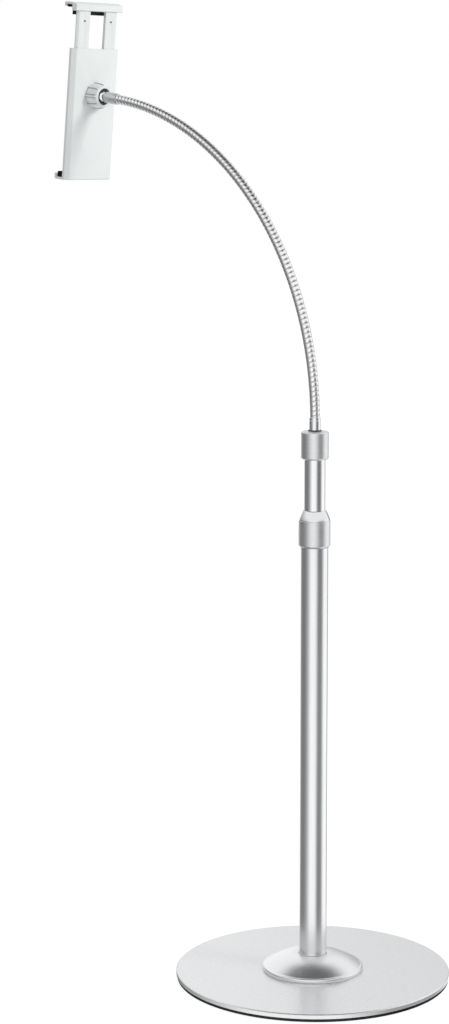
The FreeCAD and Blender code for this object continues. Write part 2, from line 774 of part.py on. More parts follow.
def housing():
    """Moulded shell with an open front, whose bottom edge runs on into the lower jaw."""
    shell = new_body("holder_shell")
    block = new_sketch(shell, "shell_block", "XZ_Plane", HOUSING_BACK)
    outline(block, strip("housing_width", "0 - housing_below", "housing_above"))
    pad(shell, block, "housing_depth")

    def back_edge(edge):
        at_back = all(near(vertex.Point.y, f"0 - {HOUSING_BACK}") for vertex in edge.Vertexes)
        return runs_along(edge, Z_AXIS) and at_back

    chamfer(shell, back_edge, "housing_bevel")

    def bottom_edge(edge):
        at_bottom = all(near(vertex.Point.z, "0 - housing_below") for vertex in edge.Vertexes)
        at_back = all(near(vertex.Point.y, f"0 - {HOUSING_BACK}") for vertex in edge.Vertexes)
        return runs_along(edge, X_AXIS) and at_bottom and at_back

    fillet(shell, bottom_edge, "housing_wall")

    cavity = new_sketch(shell, "shell_cavity", "XZ_Plane", CAVITY_BACK)
    outline(cavity, strip(CAVITY_WIDTH, CAVITY_FLOOR, "housing_above + cover_gap"))
    pocket(shell, cavity, "housing_depth", reverse=True)

    jaw = new_sketch(shell, "lower_jaw_profile", "YZ_Plane")
    front = f"0 - {JAW_FRONT}"
    lip_top = f"{LOWER_SHELF_TOP} + lower_lip_height"
    lip_back = f"0 - {JAW_FRONT} + jaw_thickness"
    outline(jaw, [
        (f"0 - {HOUSING_FRONT} + housing_wall", "0 - housing_below"),
        (f"0 - {HOUSING_FRONT} + housing_wall", LOWER_SHELF_TOP),
        (lip_back, LOWER_SHELF_TOP),
        (lip_back, lip_top),
        (front, lip_top),
        (front, "0 - housing_below + jaw_thickness", "jaw_thickness"),
        (f"{front} + jaw_thickness", "0 - housing_below"),
    ])
    pad(shell, jaw, "housing_width", symmetric=True)

    holes = new_sketch(shell, "shell_screw_holes", "XZ_Plane", HOUSING_BACK)
    for angle in (90, 210, 330):
        across = f"boss_screw_circle / 2 * cos({angle})"
        up = f"boss_screw_circle / 2 * sin({angle})"
        circle(holes, (across, up), "boss_screw_diameter / 2 + fixed_gap")
    pocket(shell, holes, "housing_wall + cover_gap", reverse=True)
    place(shell, BALL_CENTRE, HOLDER_LEAN)

    cover = new_body("front_cover")
    sheet = new_sketch(cover, "cover_sheet", "XZ_Plane", COVER_BACK)
    outline(sheet, strip(f"{CAVITY_WIDTH} - 2 * fixed_gap", f"{CAVITY_FLOOR} + fixed_gap", "housing_above"))
    pad(cover, sheet, "cover_thickness")
    place(cover, BALL_CENTRE, HOLDER_LEAN)

    cushion = new_body("front_cushion")
    pad_sketch = new_sketch(cushion, "cushion_sheet", "XZ_Plane", HOUSING_FRONT)
    middle = "(housing_above - housing_below) / 2"
    half_height = "cushion_height / 2"
    outline(pad_sketch, strip("cushion_width", f"{middle} - {half_height}", f"{middle} + {half_height}"))
    pad(cushion, pad_sketch, "cushion_thickness")
    place(cushion, BALL_CENTRE, HOLDER_LEAN)


def slider():
    """Sliding plate with two channelled prongs, joined by a cross bar inside the housing."""
    plate = new_body("slider")
    bottom = "(housing_above - slider_inside)"
    top = f"({JAW_BOTTOM} + slider_head)"
    block = new_sketch(plate, "slider_block", "XZ_Plane", SLIDER_BACK)
    outline(block, strip(SLIDER_WIDTH, bottom, top))
    pad(plate, block, "slider_depth")

    def back_edge(edge):
        at_back = all(near(vertex.Point.y, f"0 - {SLIDER_BACK}") for vertex in edge.Vertexes)
        return runs_along(edge, Z_AXIS) and at_back

    chamfer(plate, back_edge, "slider_bevel")

    window = new_sketch(plate, "slider_window", "XZ_Plane", f"{SLIDER_BACK} + slider_depth")
    outline(window, strip("window_width", f"{bottom} + cross_bar", top))
    pocket(plate, window, "slider_depth", through=True)

    channels = new_sketch(plate, "slider_channels", "XZ_Plane", f"{SLIDER_BACK} + slider_web")
    for side in ("0 - spring_offset", "spring_offset"):
        edges = (f"{side} - channel_width / 2", f"{side} + channel_width / 2")
        outline(channels, rectangle(*edges, bottom, top))
    pocket(plate, channels, "slider_depth", reverse=True)

    recess = new_sketch(plate, "pin_recess", "XZ_Plane", SLIDER_BACK)
    pair(recess, PIN_HEIGHT, "spring_pin_head / 2 + fixed_gap")
    pocket(plate, recess, "spring_pin_head_height", reverse=True)
    holes = new_sketch(plate, "pin_holes", "XZ_Plane", SLIDER_BACK)
    pair(holes, PIN_HEIGHT, "spring_pin_diameter / 2 + fixed_gap")
    pocket(plate, holes, "slider_depth", reverse=True)
    place(plate, BALL_CENTRE, HOLDER_LEAN)

    pins = new_body("spring_pins")
    heads = new_sketch(pins, "pin_heads", "XZ_Plane", SLIDER_BACK)
    pair(heads, PIN_HEIGHT, "spring_pin_head / 2")
    pad(pins, heads, "spring_pin_head_height")
    shanks = new_sketch(pins, "pin_shanks", "XZ_Plane", SLIDER_BACK)
    pair(shanks, PIN_HEIGHT, "spring_pin_diameter / 2")
    pad(pins, shanks, "slider_depth")
    place(pins, BALL_CENTRE, HOLDER_LEAN)

    # Pins on the inside of the cover that hold the other ends of the springs, clear of the sliding web
    anchors = new_body("anchor_pins")
    pin_end = f"({SLIDER_BACK} + slider_web + cover_gap)"
    posts = new_sketch(anchors, "anchor_posts", "XZ_Plane", pin_end)
    pair(posts, "0 - anchor_height", "spring_pin_diameter / 2")
    pad(anchors, posts, f"{COVER_BACK} - {pin_end}")
    place(anchors, BALL_CENTRE, HOLDER_LEAN)

    # Each spring runs in its channel from the anchor pin up to the pin in the prong
    depth = f"{SLIDER_BACK} + slider_web + cover_gap + spring_diameter / 2"
    inset = "spring_pin_diameter / 2 + cover_gap"
    length = f"({PIN_HEIGHT} + anchor_height - 2 * ({inset}))"
    for label, across in (("spring_left", "0 - spring_offset"), ("spring_right", "spring_offset")):
        spring = new_body(label)
        coil = new_sketch(spring, f"{label}_coil", "XY_Plane", f"0 - anchor_height + {inset}")
        circle(coil, (across, f"0 - ({depth})"), "spring_diameter / 2")
        pad(spring, coil, length)
        place(spring, BALL_CENTRE, HOLDER_LEAN)


def jaws():
    front = f"0 - {JAW_FRONT}"
    lip_back = f"0 - {JAW_FRONT} + jaw_thickness"

    # Upper jaw: a bar that caps the slider and slopes up to a shelf with a short lip
    jaw = new_body("upper_jaw")
    profile = new_sketch(jaw, "upper_jaw_profile", "YZ_Plane")
    top = f"({JAW_BOTTOM} + upper_jaw_height)"
    shelf_top = f"({UPPER_SHELF_BOTTOM} + jaw_thickness)"
    outline(profile, [
        (f"0 - {HOUSING_BACK}", JAW_BOTTOM),
        (f"0 - {HOUSING_BACK}", top),
        (f"0 - {HOUSING_FRONT}", shelf_top),
        (f"{front} + jaw_thickness", shelf_top, "jaw_thickness"),
        (front, UPPER_SHELF_BOTTOM),
        (front, f"{UPPER_SHELF_BOTTOM} - upper_lip_height"),
        (lip_back, f"{UPPER_SHELF_BOTTOM} - upper_lip_height"),
        (lip_back, UPPER_SHELF_BOTTOM),
        (f"0 - {HOUSING_FRONT}", UPPER_SHELF_BOTTOM),
        (f"0 - {HOUSING_FRONT}", JAW_BOTTOM),
    ])
    pad(jaw, profile, "housing_width", symmetric=True)

    def lower_back_edge(edge):
        at_back = all(near(vertex.Point.y, f"0 - {HOUSING_BACK}") for vertex in edge.Vertexes)
        at_bottom = all(near(vertex.Point.z, JAW_BOTTOM) for vertex in edge.Vertexes)
        return runs_along(edge, X_AXIS) and at_back and at_bottom

    chamfer(jaw, lower_back_edge, "upper_jaw_bevel")
    socket = new_sketch(jaw, "slider_socket", "XZ_Plane", f"{SLIDER_BACK} - fixed_gap")
    socket_width = f"{SLIDER_WIDTH} + 2 * fixed_gap"
    outline(socket, strip(socket_width, JAW_BOTTOM, f"{JAW_BOTTOM} + slider_head + fixed_gap"))
    pocket(jaw, socket, "slider_depth + 2 * fixed_gap", reverse=True)
    place(jaw, BALL_CENTRE, HOLDER_LEAN)

    # Rubber channels that line the two jaws
    liner_width = "housing_width - 2 * liner_inset"
    pad_back = f"0 - {HOUSING_FRONT}"
    inner_back = f"0 - {HOUSING_FRONT} - liner_thickness"
    inner_front = f"{lip_back} + liner_thickness"

    upper = new_body("upper_jaw_liner")
    sketch = new_sketch(upper, "upper_liner_profile", "YZ_Plane")
    ceiling = f"{UPPER_SHELF_BOTTOM} - liner_thickness"
    outline(sketch, [
        (pad_back, UPPER_SHELF_BOTTOM),
        (pad_back, f"{JAW_BOTTOM} - back_liner_leg"),
        (inner_back, f"{JAW_BOTTOM} - back_liner_leg"),
        (inner_back, ceiling),
        (inner_front, ceiling),
        (inner_front, f"{ceiling} - upper_liner_leg"),
        (lip_back, f"{ceiling} - upper_liner_leg"),
        (lip_back, UPPER_SHELF_BOTTOM),
    ])
    pad(upper, sketch, liner_width, symmetric=True)
    place(upper, BALL_CENTRE, HOLDER_LEAN)

    lower = new_body("lower_jaw_liner")
    sketch = new_sketch(lower, "lower_liner_profile", "YZ_Plane")
    floor = f"{LOWER_SHELF_TOP} + liner_thickness"
    outline(sketch, [
        (pad_back, LOWER_SHELF_TOP),
        (lip_back, LOWER_SHELF_TOP),
        (lip_back, f"{floor} + lower_liner_leg"),
        (inner_front, f"{floor} + lower_liner_leg"),
        (inner_front, floor),
        (pad_back, floor),
    ])
    pad(lower, sketch, liner_width, symmetric=True)
    place(lower, BALL_CENTRE, HOLDER_LEAN)


base_pieces()
dome()
pole()
neck_foot()
neck()
ball_joint()
housing()
slider()
jaws()
doc.recompute()

for item in doc.Objects:
    if {"Invalid", "Error"} & set(item.State):
        raise RuntimeError(f"{item.Label} failed: {item.State}")
for part in sub_parts:
    if part.Shape.isNull() or not part.Shape.isValid():
        raise RuntimeError(f"{part.Label} has no valid shape")

os.makedirs("parts", exist_ok=True)
for part in sub_parts:
    part.Shape.exportStep(f"parts/{part.Label}.step")
print(f"{len(sub_parts)} sub-parts written")
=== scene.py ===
import math

import bmesh
import bpy
import numpy as np
from mathutils import Matrix, Vector


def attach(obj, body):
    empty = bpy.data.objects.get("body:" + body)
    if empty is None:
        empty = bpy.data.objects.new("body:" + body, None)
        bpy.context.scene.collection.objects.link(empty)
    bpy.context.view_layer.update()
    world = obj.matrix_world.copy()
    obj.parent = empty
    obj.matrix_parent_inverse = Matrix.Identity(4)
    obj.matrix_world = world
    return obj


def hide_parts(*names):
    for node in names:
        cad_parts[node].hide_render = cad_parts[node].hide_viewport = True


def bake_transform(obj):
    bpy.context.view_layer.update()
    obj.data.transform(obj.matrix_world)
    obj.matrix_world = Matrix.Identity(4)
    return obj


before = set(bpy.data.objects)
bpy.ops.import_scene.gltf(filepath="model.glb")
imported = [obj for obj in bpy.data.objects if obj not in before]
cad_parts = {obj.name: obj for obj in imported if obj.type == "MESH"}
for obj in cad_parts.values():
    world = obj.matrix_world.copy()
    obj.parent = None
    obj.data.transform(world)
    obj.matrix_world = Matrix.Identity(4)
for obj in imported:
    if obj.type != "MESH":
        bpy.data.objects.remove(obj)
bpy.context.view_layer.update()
scene = bpy.context.scene
mm = 0.001


# Camera about 2.6 m away and 0.9 m up, behind the holder and to the side
camera = {
    "place": (1.9660, 1.7394, 0.9054),
    "aim": (-0.71625, -0.68224, -0.14681),
    "roll": -0.07,
    "lens": 86.98,
}


def makeCamera():
    data = bpy.data.cameras.new("standCamera")
    data.lens = camera["lens"]
    data.sensor_width = 36
    data.sensor_fit = "AUTO"
    data.clip_start, data.clip_end = 0.1, 30
    holder = bpy.data.objects.new("standCamera", data)
    scene.collection.objects.link(holder)
    aim = Vector(camera["aim"]).to_track_quat("-Z", "Y").to_matrix().to_4x4()
    roll = Matrix.Rotation(math.radians(camera["roll"]), 4, "Z")
    holder.matrix_world = Matrix.Translation(camera["place"]) @ aim @ roll
    scene.camera = holder


makeCamera()
print("camera placed")


def hexColour(code):
    # sRGB hex to linear: c / 12.92 up to 0.04045, else ((c + 0.055) / 1.055) ^ 2.4
    channels = np.array([int(code[i:i + 2], 16) for i in (1, 3, 5)]) / 255
    linear = np.where(channels <= 0.04045, channels / 12.92, ((channels + 0.055) / 1.055) ** 2.4)
    return (*linear.tolist(), 1.0)


def addNode(tree, kind, inputs=None, **settings):
    # inputs: a socket's name or number, with a value or another node's output
    node = tree.nodes.new(kind)
    for name, value in settings.items():
        setattr(node, name, value)
    for name, value in (inputs or {}).items():
        if isinstance(value, bpy.types.NodeSocket):
            tree.links.new(value, node.inputs[name])
        else:
            node.inputs[name].default_value = value
    return node


def newMaterial(name, **sockets):
    # a Principled surface whose plain values are set on its own sockets
    material = bpy.data.materials.new(name)
    material.use_nodes = True
    tree = material.node_tree
    shader = tree.nodes["Principled BSDF"]
    for key, value in sockets.items():
        shader.inputs[key].default_value = value
    return material, tree, shader


def objectPattern(tree, stretch=(1, 1, 1)):
    place = addNode(tree, "ShaderNodeTexCoord")
    mapping = addNode(tree, "ShaderNodeMapping", {"Vector": place.outputs["Object"], "Scale": stretch})
    return mapping.outputs["Vector"]


def noiseAt(tree, vector, size, detail=2.0, roughness=0.5):
    # size is the pattern's real grain in mm
    return addNode(tree, "ShaderNodeTexNoise", {
        "Vector": vector, "Scale": 1000 / size, "Detail": detail, "Roughness": roughness}).outputs["Fac"]


def spread(tree, value, low, high):
    # noise lies mostly within 0.3 to 0.7, which is stretched over a range
    stretched = addNode(tree, "ShaderNodeMapRange", {
        "Value": value, "From Min": 0.3, "From Max": 0.7, "To Min": low, "To Max": high})
    return stretched.outputs["Result"]


def tint(tree, factor, dark, light):
    mix = addNode(tree, "ShaderNodeMix", {0: factor}, data_type="RGBA")
    mix.inputs[6].default_value = hexColour(dark)
    mix.inputs[7].default_value = hexColour(light)
    return mix.outputs[2]


def colourBy(tree, shader, factor, dark, light):
    tree.links.new(tint(tree, factor, dark, light), shader.inputs["Base Color"])


def roughBy(tree, shader, pattern, smooth, rough):
    tree.links.new(spread(tree, pattern, smooth, rough), shader.inputs["Roughness"])


def relief(tree, shader, height, depth):
    # depth in mm of the bump's full height
    bump = addNode(tree, "ShaderNodeBump", {"Height": height, "Distance": depth * mm})
    tree.links.new(bump.outputs["Normal"], shader.inputs["Normal"])


def anodisedTube():
    # drawn aluminium, bead blasted and clear anodised: satin, with faint lines along the draw
    material, tree, shader = newMaterial("anodised_aluminium_tube", Metallic=1.0)
    grain = noiseAt(tree, objectPattern(tree, (1, 1, 0.012)), 0.9, 3)
    blast = noiseAt(tree, objectPattern(tree), 0.5, 2)
    colourBy(tree, shader, spread(tree, grain, 0, 1), "#DCDDDE", "#E4E5E6")
    roughBy(tree, shader, grain, 0.20, 0.25)
    relief(tree, shader, blast, 0.002)
    return material


def brightTube():
    # thinner drawn tube, polished before its anodising: glossier than the outer one
    material, tree, shader = newMaterial("bright_anodised_tube", Metallic=1.0)
    grain = noiseAt(tree, objectPattern(tree, (1, 1, 0.012)), 0.8, 3)
    colourBy(tree, shader, spread(tree, grain, 0, 1), "#E0E1E2", "#E8E9EA")
    roughBy(tree, shader, grain, 0.15, 0.19)
    relief(tree, shader, grain, 0.002)
    return material


def turnedAluminium():
    # turned and anodised aluminium nut: a satin barrel with fine rings left by the tool, and a cone that
    # was polished above the height where the barrel ends
    material, tree, shader = newMaterial("turned_aluminium", Metallic=1.0)
    rings = noiseAt(tree, objectPattern(tree, (0.02, 0.02, 1)), 0.55, 3)
    patches = noiseAt(tree, objectPattern(tree), 6, 2)
    colourBy(tree, shader, spread(tree, rings, 0, 1), "#D9DADB", "#E0E1E2")
    height = addNode(tree, "ShaderNodeSeparateXYZ", {"Vector": objectPattern(tree)}).outputs["Z"]
    coneLow, coneHigh = 507.3 * mm, 530 * mm
    above = addNode(tree, "ShaderNodeMath", {0: height, 1: coneLow}, operation="GREATER_THAN")
    below = addNode(tree, "ShaderNodeMath", {0: height, 1: coneHigh}, operation="LESS_THAN")
    cone = addNode(tree, "ShaderNodeMath", {0: above.outputs[0], 1: below.outputs[0]}, operation="MULTIPLY")
    satin = spread(tree, patches, 0.38, 0.43)
    rough = addNode(tree, "ShaderNodeMix", {0: cone.outputs[0], 2: satin, 3: 0.14}).outputs[0]
    tree.links.new(rough, shader.inputs["Roughness"])
    relief(tree, shader, rings, 0.0015)
    return material


def polishedSteel():
    # pressed steel cover, plated and polished: soft mirror with faint waves from the press
    material, tree, shader = newMaterial("polished_plated_steel", Metallic=1.0)
    waves = noiseAt(tree, objectPattern(tree), 18, 2)
    haze = noiseAt(tree, objectPattern(tree), 1.2, 3)
    colourBy(tree, shader, spread(tree, haze, 0, 1), "#E2E3E4", "#E9EAEB")
    roughBy(tree, shader, haze, 0.28, 0.33)
    relief(tree, shader, waves, 0.02)
    return material


def silverPaint():
    # steel plate in fine silver powder coat: small flakes under a semi-matt skin with slight orange peel
    material, tree, shader = newMaterial("silver_powder_coat", Metallic=0.75)
    flakes = addNode(tree, "ShaderNodeTexVoronoi", {
        "Vector": objectPattern(tree), "Scale": 1000 / 0.7}).outputs["Color"]
    flake = addNode(tree, "ShaderNodeSeparateColor", {"Color": flakes}).outputs["Red"]
    peel = noiseAt(tree, objectPattern(tree), 1.6, 2)
    colourBy(tree, shader, flake, "#E0E1E2", "#E6E7E8")
    roughBy(tree, shader, peel, 0.27, 0.31)
    relief(tree, shader, peel, 0.002)
    return material


def nickelWire():
    # flat spring steel wound into a hose and nickel plated: bright bands, with painted shade that turns the
    # colour grey down in the grooves
    material, tree, shader = newMaterial("nickel_plated_hose", Metallic=1.0)
    groove = addNode(tree, "ShaderNodeAttribute", attribute_name="groove").outputs["Fac"]
    draw = noiseAt(tree, objectPattern(tree), 2.5, 3)
    # painted shade: the colour runs from the bright band to grey at the bottom of each groove
    colourBy(tree, shader, groove, "#F0F0F1", "#9C9EA0")
    roughBy(tree, shader, draw, 0.24, 0.30)
    relief(tree, shader, draw, 0.004)
    return material


def brightFerrule():
    # turned brass ferrule, nickel plated and polished
    material, tree, shader = newMaterial("nickel_plated_ferrule", Metallic=1.0)
    rings = noiseAt(tree, objectPattern(tree), 0.9, 2)
    colourBy(tree, shader, spread(tree, rings, 0, 1), "#DCDDDE", "#E6E7E8")
    roughBy(tree, shader, rings, 0.14, 0.19)
    relief(tree, shader, rings, 0.002)
    return material


def satinFerrule():
    # the same ferrule at the holder, brushed: satin grey
    material, tree, shader = newMaterial("satin_nickel_ferrule", Metallic=1.0)
    brushed = noiseAt(tree, objectPattern(tree), 0.6, 3)
    colourBy(tree, shader, spread(tree, brushed, 0, 1), "#CDCFCF", "#D8DADA")
    roughBy(tree, shader, brushed, 0.38, 0.45)
    relief(tree, shader, brushed, 0.004)
    return material


def chromeBall():
    # hard chrome plated steel ball: a mirror with hairline marks where the liner rubs
    material, tree, shader = newMaterial("chrome_plated_ball", Metallic=1.0)
    marks = noiseAt(tree, objectPattern(tree, (1, 1, 0.05)), 0.4, 3)
    colourBy(tree, shader, spread(tree, marks, 0, 1), "#DADBDC", "#E8E9EA")
    roughBy(tree, shader, marks, 0.06, 0.12)
    return material


def mouldedAbs(name, dark, light):
    # injection moulded ABS: fine spark-eroded grain under a faint sheen
    material, tree, shader = newMaterial(name, IOR=1.54)
    grain = noiseAt(tree, objectPattern(tree), 0.6, 3)
    flow = noiseAt(tree, objectPattern(tree), 40, 2)
    colourBy(tree, shader, spread(tree, flow, 0, 1), dark, light)
    roughBy(tree, shader, grain, 0.38, 0.46)
    relief(tree, shader, grain, 0.012)
    return material


def glossyAbs():
    # white ABS grip ring: glossy, with painted shade, a grey darkening of its colour, down beside its ribs
    material, tree, shader = newMaterial("glossy_white_abs", IOR=1.54)
    shader.inputs["Coat Weight"].default_value = 0.6
    shader.inputs["Coat Roughness"].default_value = 0.15
    rib_painted_shade = addNode(tree, "ShaderNodeAttribute", attribute_name="rib_painted_shade").outputs["Fac"]
    grain = noiseAt(tree, objectPattern(tree), 0.6, 3)
    # the colour turns grey where the painted shade lies beside the ribs
    colourBy(tree, shader, rib_painted_shade, "#E9EBEB", "#8D9294")
    roughBy(tree, shader, grain, 0.24, 0.32)
    relief(tree, shader, grain, 0.006)
    return material


def mouldedRubber(name, grainSize, depth):
    # black moulded rubber: matt, with a leathery grain and a little grey bloom
    material, tree, shader = newMaterial(name, IOR=1.4)
    grain = noiseAt(tree, objectPattern(tree), grainSize, 4, 0.6)
    bloom = noiseAt(tree, objectPattern(tree), 22, 3)
    colourBy(tree, shader, spread(tree, bloom, 0, 1), "#0D0D0E", "#18191A")
    roughBy(tree, shader, grain, 0.55, 0.72)
    relief(tree, shader, grain, depth)
    return material


def blackNylonAndShade():
    # moulded nylon bushes and liners: black, slightly waxy. The same black also makes the pieces that stand
    # in for shade in gaps and in the rivets' hollows
    material, tree, shader = newMaterial("black_nylon_and_shade", IOR=1.53)
    grain = noiseAt(tree, objectPattern(tree), 0.8, 3)
    colourBy(tree, shader, spread(tree, grain, 0, 1), "#191A1B", "#242526")
    roughBy(tree, shader, grain, 0.38, 0.48)
    relief(tree, shader, grain, 0.01)
    return material


def zincSteel():
    # zinc plated steel fasteners: bluish grey with a mottled passivation
    material, tree, shader = newMaterial("zinc_plated_steel", Metallic=1.0)
    mottle = noiseAt(tree, objectPattern(tree), 2.2, 4, 0.6)
    colourBy(tree, shader, spread(tree, mottle, 0, 1), "#9CA0A4", "#B9BCBF")
    roughBy(tree, shader, mottle, 0.28, 0.42)
    relief(tree, shader, mottle, 0.01)
    return material


def rivetSteel():
    # nickel plated tubular rivet: bright, with fine marks of the closing tool
    material, tree, shader = newMaterial("nickel_plated_rivet", Metallic=1.0)
    marks = noiseAt(tree, objectPattern(tree), 0.5, 3)
    colourBy(tree, shader, spread(tree, marks, 0, 1), "#E6E7E8", "#F0F0F1")
    roughBy(tree, shader, marks, 0.25, 0.35)
    return material


def springSteel():
    # drawn music wire, oiled: dark bright grey with lines along the wire
    material, tree, shader = newMaterial("drawn_spring_wire", Metallic=1.0)
    lines = noiseAt(tree, objectPattern(tree), 0.5, 3)
    colourBy(tree, shader, spread(tree, lines, 0, 1), "#8F9193", "#B0B2B4")
    roughBy(tree, shader, lines, 0.22, 0.32)
    return material


finish = {
    "tube": anodisedTube(),
    "innerTube": brightTube(),
    "nut": turnedAluminium(),
    "dome": polishedSteel(),
    "plate": silverPaint(),
    "hose": nickelWire(),
    "ferrule": brightFerrule(),
    "satinFerrule": satinFerrule(),
    "ball": chromeBall(),
    "holder": mouldedAbs("light_grey_abs", "#E4E8E7", "#E9ECEB"),
    "slider": mouldedAbs("light_grey_abs_slider", "#E3E7E6", "#E8EBEA"),
    "ringNut": glossyAbs(),
    "jawRubber": mouldedRubber("soft_jaw_rubber", 0.7, 0.02),
    "padRubber": mouldedRubber("base_pad_rubber", 1.4, 0.05),
    "nylonAndShade": blackNylonAndShade(),
    "zinc": zincSteel(),
    "rivet": rivetSteel(),
    "spring": springSteel(),
}
print("materials made")


def newPiece(name, vertices, faces, material, body, nodes):
    mesh = bpy.data.meshes.new(name)
    mesh.from_pydata(np.asarray(vertices).tolist(), [], faces)
    mesh.materials.append(material)
    mesh.polygons.foreach_set("use_smooth", np.ones(len(mesh.polygons), bool))
    mesh.update()
    piece = bpy.data.objects.new(name, mesh)
    scene.collection.objects.link(piece)
    if body:
        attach(piece, body)
    if nodes:
        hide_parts(*nodes)
    return piece


def roundedOutline(corners, steps=6):
    # A corner P of rounding d becomes the curve (1 - s)^2 A + 2 s (1 - s) P + s^2 B between the points
    # A and B that lie d away on its two sides. One more point on each side keeps the flats flat.
    data = np.array(corners, float)
    points, size = data[:, :2], data[:, 2:]
    before, after = np.roll(points, 1, 0) - points, np.roll(points, -1, 0) - points
    before *= size / np.linalg.norm(before, axis=1, keepdims=True)
    after *= size / np.linalg.norm(after, axis=1, keepdims=True)
    s = np.linspace(0, 1, steps)[:, None, None]
    curve = (1 - s) ** 2 * (points + before) + 2 * s * (1 - s) * points + s ** 2 * (points + after)
    curve = np.concatenate([[points + 1.2 * before], curve, [points + 1.2 * after]])
    outline = curve.transpose(1, 0, 2).reshape(-1, 2)
    apart = np.linalg.norm(outline - np.roll(outline, 1, 0), axis=1) > 1e-4
    return outline[apart]


def turnedGrid(outline, angle):
    # Surface of revolution (r cos a, r sin a, z): rows follow the closed outline, columns the angle a
    following = np.roll(outline, -1, 0)
    area = np.sum(outline[:, 0] * following[:, 1] - following[:, 0] * outline[:, 1])
    outline = outline if area > 0 else outline[::-1]
    radius, height = outline[:, :1], outline[:, 1:]
    return np.stack([radius * np.cos(angle), radius * np.sin(angle), height + 0 * angle], -1)


def gridFaces(rows, columns, closedRows=True, closedColumns=True):
    index = np.arange(rows * columns).reshape(rows, columns)
    across, both, down = np.roll(index, -1, 1), np.roll(index, (-1, -1), (0, 1)), np.roll(index, -1, 0)
    corners = np.stack([index, across, both, down], -1)
    corners = corners if closedRows else corners[:-1]
    corners = corners if closedColumns else corners[:, :-1]
    return corners.reshape(-1, 4)


def joinSpots(vertices, faces):
    # vertices on one spot become one, and faces drop the corners that fall together
    first, same = np.unique(np.round(vertices, 7), axis=0, return_index=True, return_inverse=True)[1:]
    kept = [list(dict.fromkeys(face)) for face in same.reshape(-1)[faces].tolist()]
    return first, [face for face in kept if len(face) > 2]


def placed(vertices, place):
    turn = np.array(place)
    return vertices @ turn[:3, :3].T + turn[:3, 3]


def turnedPiece(name, outline, material, body, nodes, place=Matrix.Identity(4), steps=128):
    # outline in mm of radius and height. Points on the axis become one.
    grid = turnedGrid(np.asarray(outline, float), np.linspace(0, 2 * np.pi, steps, endpoint=False))
    vertices = grid.reshape(-1, 3) * mm
    first, faces = joinSpots(vertices, gridFaces(*grid.shape[:2]))
    newPiece(name, placed(vertices[first], place), faces, material, body, nodes)


def softened(name, node, material, body, width):
    # Copy of a moulded or cut part with its sharp edges rounded by the width in mm
    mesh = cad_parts[node].data.copy()
    shape = bmesh.new()
    shape.from_mesh(mesh)
    bmesh.ops.remove_doubles(shape, verts=shape.verts, dist=1e-6)
    bmesh.ops.dissolve_limit(shape, angle_limit=math.radians(0.5), verts=shape.verts, edges=shape.edges)
    shape.to_mesh(mesh)
    shape.free()
    mesh.materials.clear()
    mesh.materials.append(material)
    mesh.polygons.foreach_set("use_smooth", np.ones(len(mesh.polygons), bool))
    mesh.polygons.foreach_set("material_index", np.zeros(len(mesh.polygons), np.int32))
    piece = bpy.data.objects.new(name, mesh)
    scene.collection.objects.link(piece)
    edges = piece.modifiers.new("edges", "BEVEL")
    edges.width, edges.segments = width * mm, 3
    edges.limit_method, edges.angle_limit = "ANGLE", math.radians(32)
    edges.harden_normals = True
    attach(piece, body)
    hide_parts(node)


base = {"radius": 150, "top": 8.5, "bottom": 3.5, "padRadius": 149.2, "edge": 1.0}


def makeBase():
    top, low, radius, edge = base["top"], base["bottom"], base["radius"], base["edge"]
    turnedPiece("basePlate", roundedOutline([
        (15, low, 0.3), (radius, low, 0.3), (radius, top - edge, 0.3), (radius - edge, top, 0.3),
        (4.3, top, 0.2), (4.3, 6.9, 0.2), (15, 6.9, 0.3),
    ]), finish["plate"], "base", ["base_plate"], steps=256)
    turnedPiece("basePad", roundedOutline([
        (0, 0, 0), (base["padRadius"], 0, 0.8), (base["padRadius"], low, 0.25), (0, low, 0),
    ]), finish["padRubber"], "base", ["base_pad"], steps=256)


dome = {"radius": 55, "top": 17.5, "hole": 15.3, "wall": 1.4, "rim": 2.5, "shoulder": 2.5}


def makeDome():
    # cap z = top - drop s^2, then a shoulder that turns down into the upright rim
    radius, top, hole, wall = dome["radius"], dome["top"], dome["hole"], dome["wall"]
    bend, low = dome["shoulder"], dome["rim"]
    foot, ledge = radius - bend, low + bend
    s = np.linspace(0, 1, 40)[:, None]
    cap = np.hstack([hole + (foot - hole) * s, top - (top - ledge) * s ** 2])
    turn = np.linspace(0, 1, 12)[1:, None]
    shoulder = np.hstack([foot + bend * (1 - (1 - turn) ** 2), ledge - bend * turn ** 2])
    inner = np.hstack([hole + (foot - wall - hole) * s, top - wall - (top - wall - low) * s ** 2])
    rim = [(radius, 0.25), (radius - 0.25, 0), (foot - wall, 0)]
    outline = np.vstack([cap, shoulder, rim, inner[::-1]]) + (0, base["top"])
    turnedPiece("hubDome", outline, finish["dome"], "base", ["hub_dome"], steps=192)


makeBase()
makeDome()
print("base made")


pole = {
    "top": 484, "radius": 15, "bore": 13.5,
    "innerRadius": 11.5, "innerBore": 10.3, "innerLow": 100, "innerTop": 585,
}


def makePole():
    turnedPiece("outerTube", roundedOutline([
        (pole["bore"], base["top"], 0.2), (pole["radius"], base["top"], 0.2),
        (pole["radius"], pole["top"], 0.3), (pole["bore"], pole["top"], 0.2),
    ]), finish["tube"], "base", ["outer_tube"])
    turnedPiece("innerTube", roundedOutline([
        (pole["innerBore"], pole["innerLow"], 0.2), (pole["innerRadius"], pole["innerLow"], 0.2),
        (pole["innerRadius"], pole["innerTop"], 0.2), (pole["innerBore"], pole["innerTop"], 0.2),
    ]), finish["innerTube"], "mast", ["inner_tube"])


lockNut = {"low": 478, "barrel": 507, "top": 517.8, "radius": 17.2, "hole": 11.8, "lip": 12.6}


